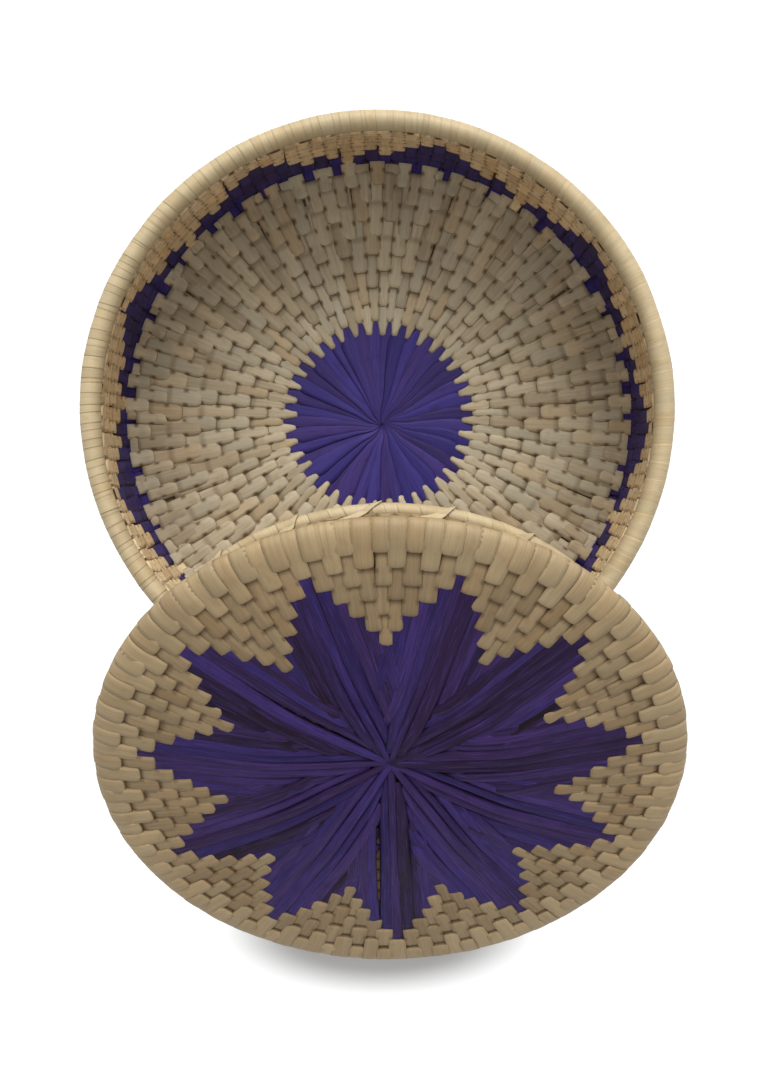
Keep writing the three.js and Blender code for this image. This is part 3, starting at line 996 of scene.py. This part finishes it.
def leaf_material(colours, kind):
    """Dry palm leaf: fibres along each strip, a tone for each strip, painted highlights along the
    fibres, darker edges from dirt and painted shade, and painted shade at the ends and where other
    strips lie over it.
    """
    look = LOOKS[kind]
    found = bpy.data.materials.get(look.name)
    if found:
        return found
    colour = getattr(colours, kind)
    material = bpy.data.materials.new(look.name)
    material.use_nodes = True
    material.node_tree.nodes.clear()
    board = Board(material.node_tree)

    def blend(first, second, share):
        settings = {"data_type": "RGBA"}
        return board.add("ShaderNodeMix", settings, {"Factor": share, "A": first, "B": second})

    def tint(red, green, blue):
        return (colour[0] * red, colour[1] * green, colour[2] * blue, 1)

    leaf = board.add("ShaderNodeAttribute", {"attribute_name": "leaf"})["Vector"]
    span = board.add("ShaderNodeAttribute", {"attribute_name": "span"})["Vector"]
    across, along, tone = board.parts(leaf)
    width, length, odd = board.parts(span)
    x = across * width * 0.5
    y = along * length
    fibre = board.noise(board.vector(x * 2.4 + tone * 91, y * 0.07, odd * 57), 1.0, 3.0)
    streak = board.noise(board.vector(x * 0.55 + tone * 43, y * 0.025, odd * 29), 1.0, 2.0)
    blotch = board.noise(board.vector(x * 0.15 + odd * 37, y * 0.11, tone * 71), 1.0, 2.0)

    shade = board.smooth(0.62 * tone + 0.9 * (streak - 0.5) + 0.19, 0.0, 1.0)
    spread = look.spread
    dark = tint(1 - spread, 1 - 1.12 * spread, 1 - 1.3 * spread)
    pale = tint(1 + 0.6 * spread, 1 + 0.62 * spread, 1 + 0.6 * spread)
    base = blend(dark, pale, shade)
    base = blend(base, tint(*look.cool), 0.55 * board.smooth(odd, 0.55, 0.95))
    base = blend(base, tint(*look.warm), 0.45 * board.smooth(odd, 0.3, 0.0))
    browned = tint(0.78, 0.7, 0.6)
    base = blend(base, browned, 0.5 * board.smooth(blotch, 0.55, 0.75))
    streaked = tint(0.6, 0.52, 0.45)
    base = blend(base, streaked, look.streaks * board.smooth(fibre, 0.5, 0.72))
    # Painted highlights: pale streaks along the fibres stand in for light on the strips' ridges
    gleam = look.gleam
    painted_highlight = 0.5 * look.streaks * board.smooth(fibre, 0.46, 0.28)
    base = blend(base, tint(gleam, gleam, gleam), painted_highlight)
    # The dark colour that the painted shade below blends in, and the dirt along the sides too
    dirt_and_painted_shade = tint(0.3, 0.23, 0.17)
    rows = y / look.row
    # Painted shade beside the noses of the strips alongside
    shaded_beside_noses = board.smooth(rows, 0.72, 0.96) * board.smooth(rows, 1.25, 1.02)
    base = blend(base, dirt_and_painted_shade, look.corners * shaded_beside_noses * board.smooth(abs(across), 0.4, 0.8))
    # Painted shadow of the next nose in the column, which lies over the tail
    shaded_under_next_nose = board.smooth(rows, 1.65, 1.98) * board.smooth(rows, 2.3, 2.0)
    base = blend(base, dirt_and_painted_shade, look.tail * shaded_under_next_nose)
    # Darker along the sides: dirt in the gaps and painted shade in the grooves between strips
    groove_dirt_and_shade = look.sides * (0.45 + 0.55 * board.smooth(odd, 0.5, 0.9))
    from_side = (1 - abs(across)) * width * 0.5
    base = blend(base, dirt_and_painted_shade, groove_dirt_and_shade * board.smooth(from_side, look.line, 0.0))
    # Painted shade at each strip's nose
    base = blend(base, dirt_and_painted_shade, look.nose * board.smooth(y, 0.6, 0.1))

    height = 0.7 * fibre + 0.5 * streak
    relief = {"Strength": 0.5, "Distance": 0.0004, "Height": height}
    bump = board.add("ShaderNodeBump", None, relief)
    surface = board.add("ShaderNodeBsdfPrincipled", None, {
        "Base Color": base,
        "Roughness": look.roughness + 0.22 * (fibre - 0.5),
        "Specular IOR Level": look.shine,
        "Normal": bump,
    })
    board.add("ShaderNodeOutputMaterial", None, {"Surface": surface})
    return material


# Operators


class PieceOperator:
    """What the operators that make pieces have in common."""

    bl_options = {"REGISTER", "UNDO"}

    @property
    def settings(self):
        """The settings of the bread basket."""
        return bpy.context.scene.bread_basket

    def finish(self, kind):
        """The finish of a kind of leaf, in its colour."""
        return leaf_material(self.settings.colours, kind)

    def coil(self, length, row, spare_turns, start, thickness, turn_steps=60):
        """The settings of a core that fills a length with rows, less the turns left free."""
        turns = length / row - spare_turns
        return {
            "Leaf": self.finish("core"),
            "Turns": turns,
            "Row": row,
            "Start": start,
            "Thickness": thickness,
            "Steps": int(turns * turn_steps),
        }

    def stitches(self, kind, row, relief=1.0):
        """The settings that all stitches of a kind of leaf have, with a share of the full height."""
        leaf = self.settings.leaf
        return {
            "Leaf": self.finish(kind),
            "Row": row,
            "Thickness": relief * leaf.thickness,
            "Depth": leaf.thickness,
            "Unevenness": leaf.unevenness,
        }


class BASKET_OT_core(PieceOperator, bpy.types.Operator):
    """Coil one bundle of leaf from the middle of the floor up to the rim"""

    bl_idname = "basket.core"
    bl_label = "Basket Core"

    def execute(self, context):
        every = self.settings
        sizes = every.basket
        length = FLOOR.outer + WALL.high - WALL.low
        thickness = sizes.wall_thickness - 2 * every.leaf.thickness
        settings = self.coil(length, sizes.row, spare_turns=1.3, start=0.011, thickness=thickness)
        line = basket_middle(sizes)
        make_piece(
            "basket_core", "coil", line, "basket", "floor_and_wall_leaf", settings, *BASKET_COILS)
        return {"FINISHED"}


class BASKET_OT_floor(PieceOperator, bpy.types.Operator):
    """Stitch the floor, inside and underneath, with more columns in the outer rows"""

    bl_idname = "basket.floor"
    bl_label = "Floor Stitches"

    def execute(self, context):
        every = self.settings
        sizes = every.basket
        leaf = every.leaf
        slot = "floor_and_wall_leaf"
        common = self.stitches("straw", sizes.row)
        first = ROSETTE.outer + 0.0008
        columns = sizes.floor_columns
        broad = {"Nose width": 1.36, "Tail width": 1.16, "Sink": 0.3}
        bands = (
            ("inner", {**broad, "Layers": 2, "Columns": columns}),
            ("second", {**broad, "First layer": 2, "Layers": 1, "Columns": columns, "Drop": 0.3}),
            ("third", {"First layer": 3, "Layers": 1, "Columns": columns + 6, "Drop": 0.35}),
            ("outer", {
                "First layer": 4, "Layers": 1, "Columns": columns + 36, "Drop": 0.2,
                "Rows long": 1.95}),
        )
        inside = basket_inside(sizes, leaf)
        outside = basket_outside(sizes, leaf)
        for number, (name, shape) in enumerate(bands):
            band = {
                **common,
                "Start": first,
                "Turn": 1.5 * FULL_TURN / columns,
                "First row": -0.76,
                "Last row": 9.65,
                "Rows long": 3.5,
                **shape,
            }
            make_piece(f"basket_floor_{name}", "stitches", inside, "basket", slot, {
                **band, "Seed": leaf.seed + number, "Slim start": 0.26})
            make_piece(f"basket_underside_{name}", "stitches", outside, "basket", slot, {
                **band, "Seed": leaf.seed + 20 + number, "Side": -1.0})
        make_piece("basket_underside_centre", "stitches", outside, "basket", slot, {
            **common,
            "Seed": leaf.seed + 40,
            "Side": -1.0,
            "Columns": columns // 2,
            "Layers": 3,
            "Start": first - 5 * sizes.row,
            "Last row": 5.2,
        })
        return {"FINISHED"}


class BASKET_OT_wall(PieceOperator, bpy.types.Operator):
    """Stitch the wall on both sides, with the purple zigzag"""

    bl_idname = "basket.wall"
    bl_label = "Wall Stitches"

    def execute(self, context):
        every = self.settings
        sizes = every.basket
        leaf = every.leaf
        common = {
            "Columns": sizes.wall_columns,
            "Layers": 6,
            "First row": 0.0,
            "Last row": 9.4,
            "Nose width": 1.06,
            "Tail width": 1.03,
            "Roundness": 0.3,
            "Seed": leaf.seed + 60,
            "Peak columns": sizes.wall_columns // len(PEAK_NODES),
            "Peak column": 1,
            "Peak rows": float(sizes.peak_rows),
            "Peak foot": 0.8,
        }
        column = FULL_TURN / sizes.wall_columns
        foot = FLOOR.outer - sizes.wall_thickness - 0.004
        outer_foot = foot + sizes.wall_thickness
        inside = basket_inside(sizes, leaf)
        outside = basket_outside(sizes, leaf)
        # The inside takes the paler wall leaf, painted light for the shaded inside of the basket
        sides = (
            ("inside", 1.0, foot, inside, 0.1, "wall", PEAK_NODES),
            ("outside", -1.0, outer_foot, outside, 0.4, "outside", ()),
        )
        for name, side, start, line, relief, natural, peaks in sides:
            rows = {
                **common,
                "Side": side,
                "Start": start,
                "Turn": sizes.zigzag_turn - side * column,
            }
            plain = self.stitches(natural, sizes.wall_row, relief)
            make_piece(f"basket_wall_{name}", "stitches", line, "basket", "floor_and_wall_leaf", {
                **rows, **plain, "Dyed": 0})
            purple = self.stitches("zigzag", sizes.wall_row, relief)
            make_piece(f"basket_zigzag_{name}", "stitches", line, "basket", "purple_leaf", {
                **rows, **purple, "Dyed": 1}, *peaks)
        return {"FINISHED"}


class BASKET_OT_rosette(PieceOperator, bpy.types.Operator):
    """Fan the purple rosette out over the middle of the floor"""

    bl_idname = "basket.rosette"
    bl_label = "Rosette"

    def execute(self, context):
        every = self.settings
        sizes = every.basket
        line = basket_inside(sizes, every.leaf)
        make_piece("basket_rosette_strips", "rosette", line, "basket", "purple_leaf", {
            "Leaf": self.finish("violet"),
            "Seed": every.leaf.seed + 80,
            "Strips": sizes.rosette_strips,
            "Tip": ROSETTE.outer + 0.003,
            "Turn": 0.25 * FULL_TURN / sizes.rosette_strips,
            "Centre": (0.0017, -0.004, 0.0),
        }, "basket_rosette")
        return {"FINISHED"}


class BASKET_OT_rim(PieceOperator, bpy.types.Operator):
    """Wind leaf round the rim"""

    bl_idname = "basket.rim"
    bl_label = "Rim Wraps"

    def execute(self, context):
        every = self.settings
        section = closed_roll(RIM.outer, RIM.high, width=0.01, height=0.0125)
        make_piece("basket_rim_wraps", "wraps", section, "basket", "wrapping_leaf", {
            "Leaf": self.finish("wrapping"),
            "Seed": every.leaf.seed + 100,
            "Wraps": every.basket.rim_wraps,
            "Unevenness": every.leaf.unevenness,
        }, "basket_rim_roll")
        return {"FINISHED"}


class BASKET_OT_lid(PieceOperator, bpy.types.Operator):
    """Coil the lid, stitch both its faces and fold the outer strips over its edge"""

    bl_idname = "basket.lid"
    bl_label = "Lid Stitches"

    def execute(self, context):
        every = self.settings
        sizes = every.lid
        leaf = every.leaf
        middle = lid_line(EDGE.outer - 0.006, LID_THICKNESS / 2)
        core = self.coil(
            EDGE.outer - 0.01, sizes.row, spare_turns=0.8, start=0.004, thickness=0.0046)
        make_piece("lid_core", "coil", middle, "lid", "lid_leaf", core, "lid_centre", "lid_coil")
        columns = sizes.point_columns * len(STAR_NODES)
        common = {
            **self.stitches("lid", sizes.row, relief=0.65),
            "Columns": columns,
            "Turn": sizes.star_turn,
            "Crown": 0.35,
            "Roundness": 0.16,
            "Nose width": 1.34,
            "Tail width": 1.06,
            "Sink": 0.32,
        }
        top = lid_top(leaf)
        valley = star_valley(sizes)
        make_piece("lid_stitches", "stitches", top, "lid", "lid_leaf", {
            **common,
            "Seed": leaf.seed + 120,
            "Start": valley,
            "Layers": 3,
            "Peak columns": sizes.point_columns,
            "Peak rows": float(sizes.point_rows),
        })
        # The edge strips take the paler edge leaf, painted light for the lid's top edge
        make_piece("lid_edge_strips", "stitches", top, "lid", "lid_leaf", {
            **common,
            "Leaf": self.finish("edge"),
            "Seed": leaf.seed + 140,
            "Start": valley,
            "First layer": 3,
            "Layers": 1,
            "Rows long": 5.2,
            "Segments": 20,
            "Nose width": 1.2,
            "Tail width": 1.12,
            "Sink": 0.2,
            "Drop": 0.0,
            "Thickness": 0.6 * leaf.thickness,
            "Crown": 0.15,
            "Unevenness": 0.8 * leaf.unevenness,
        }, "lid_edge_roll")
        under = lid_line(COLLAR.inner, LID_THICKNESS - leaf.seat)
        make_piece("lid_underside_stitches", "stitches", under, "lid", "lid_leaf", {
            **common,
            "Side": -1.0,
            "Seed": leaf.seed + 160,
            "Start": COLLAR.inner - 9 * sizes.row,
            "Last row": 9.2,
            "Layers": 6,
        })
        make_piece("lid_underside_middle", "stitches", under, "lid", "lid_leaf", {
            **common,
            "Side": -1.0,
            "Columns": columns // 2,
            "Seed": leaf.seed + 180,
            "Start": COLLAR.inner - 14 * sizes.row,
            "Last row": 5.2,
            "Layers": 3,
        })
        return {"FINISHED"}


class BASKET_OT_star(PieceOperator, bpy.types.Operator):
    """Fan the purple star out from the middle of the lid"""

    bl_idname = "basket.star"
    bl_label = "Star"

    def execute(self, context):
        every = self.settings
        sizes = every.lid
        make_piece("lid_star", "star", lid_top(every.leaf), "lid", "purple_leaf", {
            "Leaf": self.finish("purple"),
            "Seed": every.leaf.seed + 200,
            "Points": len(STAR_NODES),
            "Point columns": sizes.point_columns,
            "Point rows": sizes.point_rows,
            "Row": sizes.row,
            "Valley": star_valley(sizes),
            "Turn": sizes.star_turn,
            "Centre": (0.0, 0.009, 0.0),
        }, *STAR_NODES)
        return {"FINISHED"}


class BASKET_OT_collar(PieceOperator, bpy.types.Operator):
    """Coil and stitch the collar, wind its ring and lash the ring on"""

    bl_idname = "basket.collar"
    bl_label = "Collar"

    def execute(self, context):
        every = self.settings
        sizes = every.lid
        leaf = every.leaf
        wrapping = self.finish("wrapping")
        slot = "wrapping_leaf"
        middle = collar_line((COLLAR.inner + COLLAR.outer) / 2, COLLAR.low)
        depth = COLLAR.high - COLLAR.low
        core = self.coil(
            depth, sizes.row, spare_turns=0.9, start=0.0045, thickness=0.0035, turn_steps=72)
        make_piece("lid_collar_core", "coil", middle, "lid", slot, core, "lid_collar_coil")
        # Painted shade: the collar's stitches take the lid's darker leaf, not the wrapping, so the
        # gap above the ring reads dark
        common = {
            **self.stitches("lid", sizes.row, relief=0.2),
            "Columns": sizes.point_columns * len(STAR_NODES) - 10,
            "Start": 0.001,
            "First row": 0.0,
            "Last row": 3.4,
            "Layers": 3,
        }
        sides = (
            ("outside", 1.0, COLLAR.outer - leaf.seat),
            ("inside", -1.0, COLLAR.inner + leaf.seat),
        )
        for name, side, radius in sides:
            line = collar_line(radius, RING.high - 0.001)
            make_piece(f"lid_collar_{name}", "stitches", line, "lid", slot, {
                **common, "Seed": leaf.seed + 220, "Side": side})
        thick = 0.0078
        section = closed_roll(RING.outer, RING.low + thick, thick, thick)
        make_piece("lid_ring_wraps", "wraps", section, "lid", slot, {
            "Leaf": wrapping,
            "Seed": leaf.seed + 240,
            "Wraps": sizes.ring_wraps,
            "Slant": 0.9,
            "Lumps": 0.0004,
            "Unevenness": leaf.unevenness,
        }, "lid_collar_ring")
        make_piece("lid_ring_ties", "wraps", tie_line(), "lid", slot, {
            "Leaf": wrapping,
            "Seed": leaf.seed + 260,
            "Wraps": len(TIE_NODES),
            "Lap": -0.74,
            "Slant": -0.32,
            "Taper": 0.98,
            "Raised": 0.0013,
            "Lumps": 0.0,
            "Unevenness": 0.25,
        }, *TIE_NODES)
        return {"FINISHED"}


class BASKET_OT_stage(PieceOperator, bpy.types.Operator):
    """Set out the pale floor with its grey patch of partly painted shadow where the lid stands, the
    soft light and the camera above
    """

    bl_idname = "basket.stage"
    bl_label = "Stage"

    def execute(self, context):
        stage = self.settings.stage
        scene = context.scene
        bpy.ops.mesh.primitive_circle_add(vertices=96, radius=3.0, fill_type="NGON")
        floor = context.object
        floor.name = "stage_floor"
        material = bpy.data.materials.new("stage_white")
        material.use_nodes = True
        material.node_tree.nodes.clear()
        board = Board(material.node_tree)
        path = board.add("ShaderNodeLightPath")
        x, y, _ = board.parts(board.add("ShaderNodeTexCoord")["Object"])
        # Partly painted shadow: near the lid's foot the camera sees the grey paint with the real
        # shadow on it, a patch fixed to the floor and a little grey even unshadowed; elsewhere it
        # sees the white glow
        lid_foot = 0.3
        shadow_width = 0.2
        ahead = y + lid_foot
        away = board.math("SQRT", shadow_width * x * x + ahead * ahead)
        seen = path["Is Camera Ray"] * 0.9 * board.smooth(away, *SHADOW_EDGE)
        paint = board.add("ShaderNodeBsdfDiffuse", None, {"Color": STAGE_PAINT})
        glow = board.add("ShaderNodeEmission", None, {"Color": WHITE, "Strength": 1.25})
        mixed = board.add("ShaderNodeMixShader", None, [seen, paint, glow])
        board.add("ShaderNodeOutputMaterial", None, {"Surface": mixed})
        floor.data.materials.append(material)

        world = bpy.data.worlds.new("stage_sky")
        scene.world = world
        world.use_nodes = True
        world.node_tree.nodes.clear()
        board = Board(world.node_tree)
        path = board.add("ShaderNodeLightPath")
        direct = path["Is Camera Ray"] + path["Is Glossy Ray"] + path["Is Transmission Ray"]
        strength = stage.sky + (1 - stage.sky) * board.math("MINIMUM", direct, 1.0)
        sky = board.add("ShaderNodeBackground", None, {"Color": WHITE, "Strength": strength})
        board.add("ShaderNodeOutputWorld", None, {"Surface": sky})

        lamp = bpy.data.lights.new("stage_key", "SUN")
        lamp.energy = stage.key
        lamp.angle = stage.key_width
        key = bpy.data.objects.new("stage_key", lamp)
        scene.collection.objects.link(key)
        key.rotation_euler = KEY_FROM.to_track_quat("Z", "Y").to_euler()

        camera = bpy.data.objects.new("stage_camera", bpy.data.cameras.new("stage_camera"))
        scene.collection.objects.link(camera)
        camera.data.sensor_width = 36
        camera.data.lens = stage.lens
        camera.data.clip_start = 0.01
        camera.location = stage.eye
        camera.rotation_euler = (-stage.pitch, 0, 0)
        scene.camera = camera
        scene.view_settings.view_transform = "Standard"
        return {"FINISHED"}


class BASKET_PT_panel(bpy.types.Panel):
    """The bread basket's settings and steps"""

    bl_idname = "BASKET_PT_panel"
    bl_label = "Bread Basket"
    bl_space_type = "VIEW_3D"
    bl_region_type = "UI"
    bl_category = "Basket"

    def draw(self, context):
        layout = self.layout
        every = context.scene.bread_basket
        for group in (every.basket, every.lid, every.leaf, every.colours, every.stage):
            box = layout.box()
            for name in group.__annotations__:
                box.prop(group, name)
        for step in STEPS:
            layout.operator(step.bl_idname)


STEPS = (
    BASKET_OT_stage,
    BASKET_OT_core,
    BASKET_OT_floor,
    BASKET_OT_wall,
    BASKET_OT_rosette,
    BASKET_OT_rim,
    BASKET_OT_lid,
    BASKET_OT_star,
    BASKET_OT_collar,
)
GROUPS = (BasketSizes, LidSizes, LeafSizes, LeafColours, StageSizes, BreadBasket)


def register():
    """Adds the classes and the settings."""
    for each in (*GROUPS, *STEPS, BASKET_PT_panel):
        bpy.utils.register_class(each)
    bpy.types.Scene.bread_basket = PointerProperty(type=BreadBasket)


def unregister():
    """Takes the settings and the classes away again."""
    del bpy.types.Scene.bread_basket
    for each in reversed((*GROUPS, *STEPS, BASKET_PT_panel)):
        bpy.utils.unregister_class(each)


def main():
    """Makes every piece in order."""
    register()
    for step in STEPS:
        group, name = step.bl_idname.split(".")
        getattr(getattr(bpy.ops, group), name)()


if __name__ == "__main__":
    main()
